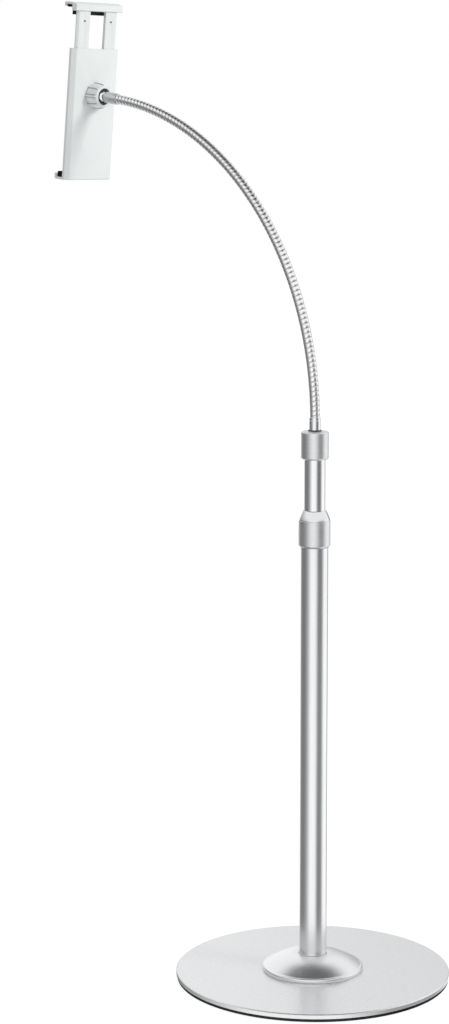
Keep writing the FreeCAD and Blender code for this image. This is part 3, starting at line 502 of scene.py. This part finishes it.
def makeLockNut():
    # the nut's taper leaves the barrel upright: r = R - (R - lip) s^1.2
    s = np.linspace(0, 1, 24)
    radius, low, barrel, top = lockNut["radius"], lockNut["low"], lockNut["barrel"], lockNut["top"]
    lip, hole, thread = lockNut["lip"], lockNut["hole"], 15.3
    widest = radius - 0.3
    taper = np.stack([widest - (widest - lip) * s ** 1.2, barrel + 0.4 + (top - barrel - 0.4) * s], 1)
    below = roundedOutline([
        (thread, low, 0.15), (radius - 2.2, low, 0.4), (radius, low + 2.2, 0.8), (radius, barrel, 0.3),
        (thread, barrel, 0.2),
    ])[:-8]
    above = [(lip - 0.15, top), (hole, top), (hole, 511.4), (14.3, 508.3), (14.3, 487.4), (thread, 487.3)]
    outline = np.vstack([below, taper, above])
    turnedPiece("lockNut", outline, finish["nut"], "lock_ring", ["lock_nut"])


collar = {"low": 573, "top": 603.3, "radius": 14.9, "hole": 7.6}


def makeCollar():
    low, top, radius, hole = collar["low"], collar["top"], collar["radius"], collar["hole"]
    roof, ledge = top - 5.3, low + 11.7
    turnedPiece("topCollar", roundedOutline([
        (11.8, low, 0.2), (radius - 1.6, low, 0.3), (radius, low + 1.6, 0.6), (radius, top, 2.6),
        (hole, top, 0.5), (hole, roof, 0.2), (12.6, roof, 0.2), (12.6, ledge, 0.2), (11.8, ledge, 0.2),
    ], steps=9), finish["nut"], "collar", ["top_collar"])
    # black ring that fills the gap round the neck's foot and stands in for the shade in that gap
    inside, outside = 6.2, hole - 0.02
    turnedPiece("collarGapShade", roundedOutline([
        (inside, top - 4, 0.1), (outside, top - 4, 0.1), (outside, top + 0.3, 0.2), (6.9, top + 1.3, 0.4),
        (inside, top + 1.3, 0.1),
    ]), finish["nylonAndShade"], "collar", [], steps=64)


makePole()
makeLockNut()
makeCollar()
print("pole made")


# The neck rests as one arc of a hose, which leaves the pole upright
neck = {
    "start": 614.35, "pitch": 41.3, "joints": 12, "bend": 6.85,
    "radius": 5.4, "turns": 8, "depth": 0.34,
}
bendRadius = neck["pitch"] / 2 / math.tan(math.radians(neck["bend"] / 2))
neckLean = math.radians(neck["joints"] * neck["bend"])
holderLean = math.radians(84)
neckAhead = np.array([0, -math.sin(neckLean), math.cos(neckLean)])
holderAhead = np.array([0, -math.sin(holderLean), math.cos(holderLean)])
holderUp = np.array([0, math.cos(holderLean), math.sin(holderLean)])
ball = {
    "reach": 48.85, "radius": 7.5, "stem": 3.5, "stemLength": 8.7,
    "ferrule": 6.3, "ferruleLength": 19.5,
}


def neckCentre(angle):
    # centre of the hose where it has turned by the angle
    ahead, rise = bendRadius * (1 - np.cos(angle)), neck["start"] + bendRadius * np.sin(angle)
    return np.stack([0 * angle, -ahead, rise], -1)


def makeHose():
    # Wound band: radius R - d |2 p - 1|^3 with p = share of one turn, which runs along a helix,
    # round the centre line C(t) = (0, -B (1 - cos t), z0 + B sin t) of the bend
    across = np.linspace(0, 2 * np.pi, 49)
    steps = np.array([0, 0.035, 0.09, 0.18, 0.32, 0.5, 0.68, 0.82, 0.91, 0.965])
    winding = (np.arange(-1, neck["turns"])[:, None] + steps).reshape(-1, 1)
    winding = np.vstack([winding, [[neck["turns"]]]])
    bend = math.radians(neck["bend"])
    for count in range(neck["joints"]):
        share = np.clip(winding + across / (2 * np.pi), 0, neck["turns"])
        angle = (count + share / neck["turns"]) * bend
        phase = np.mod(share - across / (2 * np.pi), 1)
        groove = np.abs(2 * phase - 1) ** 3
        radius = (neck["radius"] - neck["depth"] * groove)[..., None]
        outward = np.stack([0 * angle, np.cos(angle), np.sin(angle)], -1)
        side = np.broadcast_to([1.0, 0, 0], outward.shape)
        turn = across[:, None]
        wall = neckCentre(angle) + radius * (np.cos(turn) * side + np.sin(turn) * outward)
        low, high = (np.broadcast_to(neckCentre(end), (1, len(across), 3)) for end in angle[[0, -1], 0])
        grid = np.concatenate([low, wall, high])
        vertices = grid.reshape(-1, 3) * mm
        depth = np.pad(groove, ((1, 1), (0, 0)), constant_values=1).reshape(-1)
        first, faces = joinSpots(vertices, gridFaces(*grid.shape[:2], False, False))
        nodes = [f"neck_segment_{count + 1:02d}"]
        if count == neck["joints"] - 1:
            nodes.append(f"neck_segment_{count + 2:02d}")
        piece = newPiece(f"hose_{count + 1:02d}", vertices[first], faces, finish["hose"], None,
                         nodes)
        # the groove's depth is kept on the hose, where it paints shade into the grooves' colour
        grooveShadeLayer = piece.data.attributes.new("groove", "FLOAT", "POINT")
        grooveShadeLayer.data.foreach_set("value", depth[first].astype(np.float32))
        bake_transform(piece)


def jointPlace(count):
    half = math.radians(neck["bend"] / 2)
    chord = neck["pitch"] * math.sin((count - 1) * half) / math.sin(half)
    rise = neck["start"] + neck["pitch"] / 2 + chord * math.cos(count * half)
    return np.array([0, -chord * math.sin(count * half), rise])


ballCentre = jointPlace(neck["joints"]) + ball["reach"] * neckAhead
ballPlace = Matrix.Translation(ballCentre * mm) @ Matrix.Rotation(neckLean, 4, "X")
socketPlace = Matrix.Translation(ballCentre * mm) @ Matrix.Rotation(holderLean, 4, "X")


def makeFerrules():
    # lower ferrule with a fine turned line near its top, and its flange hidden in the collar
    turnedPiece("neckFerrule", roundedOutline([
        (0, 570.2, 0), (6.15, 570.2, 0.3), (6.15, 592.2, 0.05), (10, 592.2, 0.2), (10, 595.2, 0.2),
        (6.15, 595.2, 0.05), (6.15, 614.4, 0.1), (5.95, 614.8, 0.1), (6.1, 615.2, 0.1), (6.1, 618, 0.6),
        (5.2, 618, 0.1), (0, 618, 0),
    ]), finish["ferrule"], "neck_root", ["neck_foot"], steps=96)
    end, back = -ball["stemLength"], -ball["stemLength"] - ball["ferruleLength"]
    radius = ball["ferrule"]
    turnedPiece("upperFerrule", roundedOutline([
        (0, back, 0), (5.3, back, 0.1), (radius - 0.15, back, 0.4), (radius, back + 2.6, 0.1),
        (radius - 0.2, back + 2.9, 0.1), (radius, back + 3.2, 0.1), (radius, end, 0.9),
        (ball["stem"] + 0.05, end, 0.1), (ball["stem"] + 0.05, end - 13, 0.1), (0, end - 13, 0),
    ]), finish["satinFerrule"], "neck_head", ["upper_ferrule"], ballPlace, 96)


def makeBall():
    # stem, a small neck groove and the ball: r = R sin t, z = -R cos t
    start = math.asin(ball["stem"] / ball["radius"])
    t = np.linspace(start, math.radians(120), 60)
    sphere = np.stack([ball["radius"] * np.sin(t), -ball["radius"] * np.cos(t)], 1)
    radius, meets = ball["stem"], sphere[0, 1]
    stem = [
        (0, -21.4), (radius - 0.3, -21.4), (radius, -21.1), (radius, meets - 0.25),
        (radius + 0.02, meets - 0.05),
    ]
    outline = np.vstack([stem, sphere, [(0, sphere[-1, 1])]])
    turnedPiece("ballStud", outline, finish["ball"], "neck_head", ["ball_stud"],
                ballPlace, 96)


makeHose()
makeFerrules()
makeBall()
print("neck made")


ring = {
    "front": -5.84, "rear": 10.2, "land": 13.8, "shoulder": 7.2,
    "edge": 12.5, "frontRadius": 11.5, "mouth": 9.3,
    "ribs": 8, "ribHeight": 1.0, "ribHalf": 1.1, "ribSoft": 0.15,
}


def makeRingNut():
    # body r = land - drop s^2 along the taper, and on it ribs h w(d) f(z): w falls from 1 to 0 across the
    # rib's soft edge at the distance d from its middle, and f fades it out before the front edge
    s = np.linspace(0, 1, 22)[1:-1]
    front, rear, land, shoulder = ring["front"], ring["rear"], ring["land"], ring["shoulder"]
    mouth = ring["mouth"]
    taper = np.stack([
        land - (land - ring["edge"]) * s ** 2, shoulder + (front + 1 - shoulder) * s, 0 * s + 0.02], 1)
    outline = roundedOutline(np.vstack([
        [(mouth, front + 1.6, 0.1), (mouth, front, 0.5), (ring["frontRadius"] + 0.4, front, 1.1)],
        taper[::-1],
        [(land, shoulder, 0.02), (land, rear, 0.5), (11.35, rear, 0.2), (11.35, -2.8, 0.1)],
        [(9.7, -2.8, 0.1), (9.7, front + 1.6, 0.1)],
    ]))
    plain, rib = np.linspace(7.5, 22.5, 6)[1:], np.linspace(-7.5, 7.5, 41)
    offset = np.radians(np.concatenate([-plain[::-1], rib, plain[:-1]]))
    angle = (np.arange(ring["ribs"])[:, None] * 2 * np.pi / ring["ribs"] + offset).reshape(-1)
    grid = turnedGrid(outline, angle)
    radius, height = np.hypot(grid[..., 0], grid[..., 1]), grid[..., 2]
    distance = np.abs(np.tile(offset, ring["ribs"])) * radius
    across = np.clip((ring["ribHalf"] + ring["ribSoft"] - distance) / (2 * ring["ribSoft"]), 0, 1)
    along = np.clip((height - (front + 1.2)) / 1.1, 0, 1) * np.clip((radius - 12.0) / 0.5, 0, 1)
    smooth = (across ** 2 * (3 - 2 * across)) * (along ** 2 * (3 - 2 * along))
    grid[..., :2] *= (1 + ring["ribHeight"] * smooth / radius)[..., None]
    vertices, faces = placed(grid.reshape(-1, 3) * mm, socketPlace), gridFaces(*grid.shape[:2]).tolist()
    piece = newPiece("ringNut", vertices, faces, finish["ringNut"], "grip_ring", ["ring_nut"])
    # painted shade beside each rib, strongest at the distance e from its middle: exp(-((d - e) / 0.45)^2)
    paintedShade = np.exp(-((distance - ring["ribHalf"] - 0.4) / 0.45) ** 2) * along
    shade = piece.data.attributes.new("rib_painted_shade", "FLOAT", "POINT")
    shade.data.foreach_set("value", paintedShade.reshape(-1).astype(np.float32))
    # black nylon ring that closes the throat round the ball; it also stands in for the shade in the gap
    # between the ball and the ring nut
    inside = mouth - 0.05
    turnedPiece("throatRingAndShade", roundedOutline([
        (6.9, front + 1.3, 0.1), (inside, front + 1.1, 0.1), (inside, -4.1, 0.1), (6.9, -4.1, 0.1),
    ]), finish["nylonAndShade"], "grip_ring", [], socketPlace)


makeRingNut()
print("ring nut made")


def makeHolder():
    softened("holderShell", "holder_shell", finish["holder"], "holder", 0.45)
    softened("frontCover", "front_cover", finish["holder"], "holder", 0.25)
    softened("frontCushion", "front_cushion", finish["jawRubber"], "holder", 0.6)
    softened("lowerJawLiner", "lower_jaw_liner", finish["jawRubber"], "holder", 0.5)
    softened("sliderPlate", "slider", finish["slider"], "clamp", 0.3)
    softened("upperJaw", "upper_jaw", finish["holder"], "clamp", 0.5)
    softened("upperJawLiner", "upper_jaw_liner", finish["jawRubber"], "clamp", 0.5)


def holderPoint(across, depth, up):
    # a point of the holder in mm: across, from the ball towards the tablet, and up the holder
    return ballCentre + across * np.array([1.0, 0, 0]) + depth * holderAhead + up * holderUp


spring = {
    "wire": 0.2, "coil": 0.9, "turn": 1.0, "hook": 1.5,
    "across": 20.3, "depth": 15.2, "low": -86.5, "high": 82.5,
}


def makeSprings():
    # Wire along a path: a hook round each pin and a coil (c cos 2 pi n, c sin 2 pi n, z) between them
    low, high, hook = spring["low"], spring["high"], spring["hook"]
    length = high - low - 2 * hook
    turns = length / spring["turn"]
    n = np.linspace(0, 1, int(turns * 12))
    radius = spring["coil"] * np.clip(np.minimum(n, 1 - n) * turns / 0.75, 0, 1)
    wound = 2 * np.pi * turns * n
    coil = np.stack([radius * np.cos(wound), radius * np.sin(wound), low + hook + length * n], 1)
    loop = np.linspace(0, 1.7 * np.pi, 22)[1:]
    upper = np.stack([hook * np.sin(loop), 0 * loop, high - hook * np.cos(loop)], 1)
    lower = np.stack([hook * np.sin(loop), 0 * loop, low + hook * np.cos(loop)], 1)
    path = np.vstack([lower[::-1], coil, upper])
    ahead = np.gradient(path, axis=0)
    ahead /= np.linalg.norm(ahead, axis=1, keepdims=True)
    side = np.cross(ahead, np.array([0.31, 0.9, 0.3]))
    side /= np.linalg.norm(side, axis=1, keepdims=True)
    other = np.cross(ahead, side)
    sides = 6
    angle = np.linspace(0, 2 * np.pi, sides, endpoint=False)[:, None]
    rows = path[:, None] + spring["wire"] * (np.cos(angle) * side[:, None] + np.sin(angle) * other[:, None])
    start, end = (np.broadcast_to(tip, (1, sides, 3)) for tip in (path[0], path[-1]))
    grid = np.concatenate([start, rows, end])
    axes = np.array([(1, 0, 0), holderAhead, holderUp])
    for name, across in (("spring_left", -spring["across"]), ("spring_right", spring["across"])):
        local = grid.reshape(-1, 3) + (across, spring["depth"], 0)
        vertices = (ballCentre + local @ axes) * mm
        first, faces = joinSpots(vertices, gridFaces(*grid.shape[:2], False))
        piece = newPiece(f"{name}_coil", vertices[first], faces, finish["spring"], None,
                         [name])
        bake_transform(piece)


pins = {"across": 20.3, "up": 82.5, "back": 12.7, "front": 16.3, "head": 2.4, "shank": 1.2}


def makePins():
    # Rivets through the prongs: a bright ring round a black core, which stands in for the shade inside the
    # hollow rivet
    back, shank, front, head = pins["back"], pins["shank"], pins["front"], pins["head"]
    outer, seat, bore = back - 0.22, back - 0.02, shank + 0.02
    for side, across in (("Left", -pins["across"]), ("Right", pins["across"])):
        turn = Matrix.Rotation(holderLean, 4, "X")
        place = Matrix.Translation(holderPoint(across, 0, pins["up"]) * mm) @ turn
        turnedPiece(f"rivet{side}", roundedOutline([
            (bore, outer, 0.1), (head, outer, 0.25), (head, seat, 0.05), (bore, seat, 0.05),
        ]), finish["rivet"], "clamp", ["spring_pins"], place, 48)
        # black core in the rivet's hollow: painted shade
        turnedPiece(f"rivetHoleShade{side}", roundedOutline([
            (0, back - 0.1, 0), (shank, back - 0.1, 0.1), (shank, front, 0.1), (0, front, 0),
        ]), finish["nylonAndShade"], "clamp", [], place, 32)


makeHolder()
makeSprings()
makePins()
print("holder made")


# Finishes of the parts that stay as they are
hidden = {
    "zinc": ["base_washer", "base_bolt", "foot_plug", "crown", "barrel_screws", "anchor_pins"],
    "nylonAndShade": ["lock_sleeve", "lock_collet", "guide_bush", "foot_washer", "ball_liner", "ball_seat"],
    "holder": ["socket_barrel"],
}
for name, nodes in hidden.items():
    for node in nodes:
        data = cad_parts[node].data
        data.materials.clear()
        data.materials.append(finish[name])


def studioWalls(tree, vector):
    # white walls with dark flags between them, by the heading as seen from the pole
    split = addNode(tree, "ShaderNodeSeparateXYZ", {"Vector": vector})
    heading = addNode(tree, "ShaderNodeMath", {
        0: split.outputs["Y"], 1: split.outputs["X"]}, operation="ARCTAN2").outputs[0]
    # the middle of the ramp lies where the camera stands, and a quarter turn to the right is 0.75
    cameraHeading = 41.5
    share = addNode(tree, "ShaderNodeMapRange", {
        "Value": heading, "From Min": math.radians(cameraHeading - 180),
        "From Max": math.radians(cameraHeading + 180),
    }, clamp=False).outputs["Result"]
    wrapped = addNode(tree, "ShaderNodeMath", {0: share}, operation="FRACT").outputs[0]
    ramp = addNode(tree, "ShaderNodeValToRGB", {"Fac": wrapped})
    stops = [
        (0.0, 0.95), (0.02, 1.15), (0.09, 1.1), (0.14, 0.16), (0.26, 0.07), (0.34, 0.30), (0.43, 1.2),
        (0.53, 1.15), (0.60, 0.08), (0.68, 0.10), (0.75, 1.2), (0.87, 1.15), (0.90, 0.20), (0.975, 0.45),
    ]
    bar = ramp.color_ramp
    while len(bar.elements) < len(stops):
        bar.elements.new(0.5)
    for element, (place, level) in zip(bar.elements, stops):
        element.position, element.color = place, (level, level, level, 1)
    return ramp.outputs["Color"], split.outputs["Z"]


def studioWorld():
    # white for the camera, the studio's walls for the metal, and one plain level for the rest
    world = bpy.data.worlds.new("studio")
    world.use_nodes = True
    # no sampling of the world by itself, so that metal sees the studio alone and not the plain level
    world.cycles.sampling_method = "NONE"
    scene.world = world
    tree = world.node_tree
    tree.nodes.clear()
    direction = addNode(tree, "ShaderNodeTexCoord").outputs["Generated"]
    flags, rise = studioWalls(tree, direction)
    # the flags end at some height, and a dark strip hangs under the middle of the white ceiling
    ceiling = addNode(tree, "ShaderNodeMapRange", {
        "Value": rise, "From Min": 0.06, "From Max": 0.5}).outputs["Result"]
    middle = addNode(tree, "ShaderNodeMapRange", {
        "Value": rise, "From Min": 0.74, "From Max": 0.9, "To Min": 1.1, "To Max": 0.1,
    }, interpolation_type="SMOOTHSTEP").outputs["Result"]
    walls = addNode(tree, "ShaderNodeMix", {0: ceiling, 6: flags, 7: middle}, data_type="RGBA").outputs[2]
    path = addNode(tree, "ShaderNodeLightPath")
    plain = addNode(tree, "ShaderNodeBackground", {"Color": (0.58, 0.585, 0.59, 1)})
    seen = addNode(tree, "ShaderNodeBackground", {"Color": (1, 1, 1, 1)})
    studio = addNode(tree, "ShaderNodeBackground", {"Color": walls})
    glossy = addNode(tree, "ShaderNodeMixShader", {
        0: path.outputs["Is Glossy Ray"], 1: plain.outputs[0], 2: studio.outputs[0]})
    shown = addNode(tree, "ShaderNodeMixShader", {
        0: path.outputs["Is Camera Ray"], 1: glossy.outputs[0], 2: seen.outputs[0]})
    addNode(tree, "ShaderNodeOutputWorld", {"Surface": shown.outputs[0]})


lamps = {
    "keyLamp": {"place": (-0.9, 2.3, 2.2), "aim": (0, -0.3, 0.9), "size": 0.9, "power": 43},
}


def makeLamps():
    for name, lamp in lamps.items():
        data = bpy.data.lights.new(name, "AREA")
        data.shape, data.size, data.energy = "DISK", lamp["size"], lamp["power"]
        holder = bpy.data.objects.new(name, data)
        scene.collection.objects.link(holder)
        place, aim = Vector(lamp["place"]), Vector(lamp["aim"])
        turn = (aim - place).to_track_quat("-Z", "Y").to_matrix().to_4x4()
        holder.matrix_world = Matrix.Translation(place) @ turn
        holder.visible_glossy = False


def makeFloor():
    # pale paper sweep: white to the eye, with a trace of the real shadow left in it
    material, tree, shader = newMaterial("pale_paper", Roughness=0.9)
    grain = noiseAt(tree, objectPattern(tree), 3, 2)
    colourBy(tree, shader, grain, "#F4F4F4", "#FAFAFA")
    glowShare, glowLevel = 0.75, 1.21
    path = addNode(tree, "ShaderNodeLightPath")
    eye = addNode(tree, "ShaderNodeMath", {
        0: path.outputs["Is Camera Ray"], 1: path.outputs["Is Glossy Ray"]}, operation="MAXIMUM").outputs[0]
    amount = addNode(tree, "ShaderNodeMath", {0: eye, 1: glowShare}, operation="MULTIPLY").outputs[0]
    # metal sees the walls and flags go on down across the floor
    flags = studioWalls(tree, addNode(tree, "ShaderNodeTexCoord").outputs["Object"])[0]
    sheet = addNode(tree, "ShaderNodeMix", {
        0: path.outputs["Is Glossy Ray"], 6: (1, 1, 1, 1), 7: flags}, data_type="RGBA").outputs[2]
    glow = addNode(tree, "ShaderNodeEmission", {"Color": sheet, "Strength": glowLevel})
    mixed = addNode(tree, "ShaderNodeMixShader", {0: amount, 1: shader.outputs[0], 2: glow.outputs[0]})
    output = tree.nodes["Material Output"]
    tree.links.new(mixed.outputs[0], output.inputs["Surface"])
    mesh = bpy.data.meshes.new("floor")
    reach, low = 12, -0.0005
    corners = [(-reach, -reach, low), (reach, -reach, low), (reach, reach, low), (-reach, reach, low)]
    mesh.from_pydata(corners, [], [(0, 1, 2, 3)])
    mesh.materials.append(material)
    floor = bpy.data.objects.new("floor", mesh)
    scene.collection.objects.link(floor)


studioWorld()
makeLamps()
makeFloor()
scene.view_settings.view_transform = "Standard"
print("studio made")
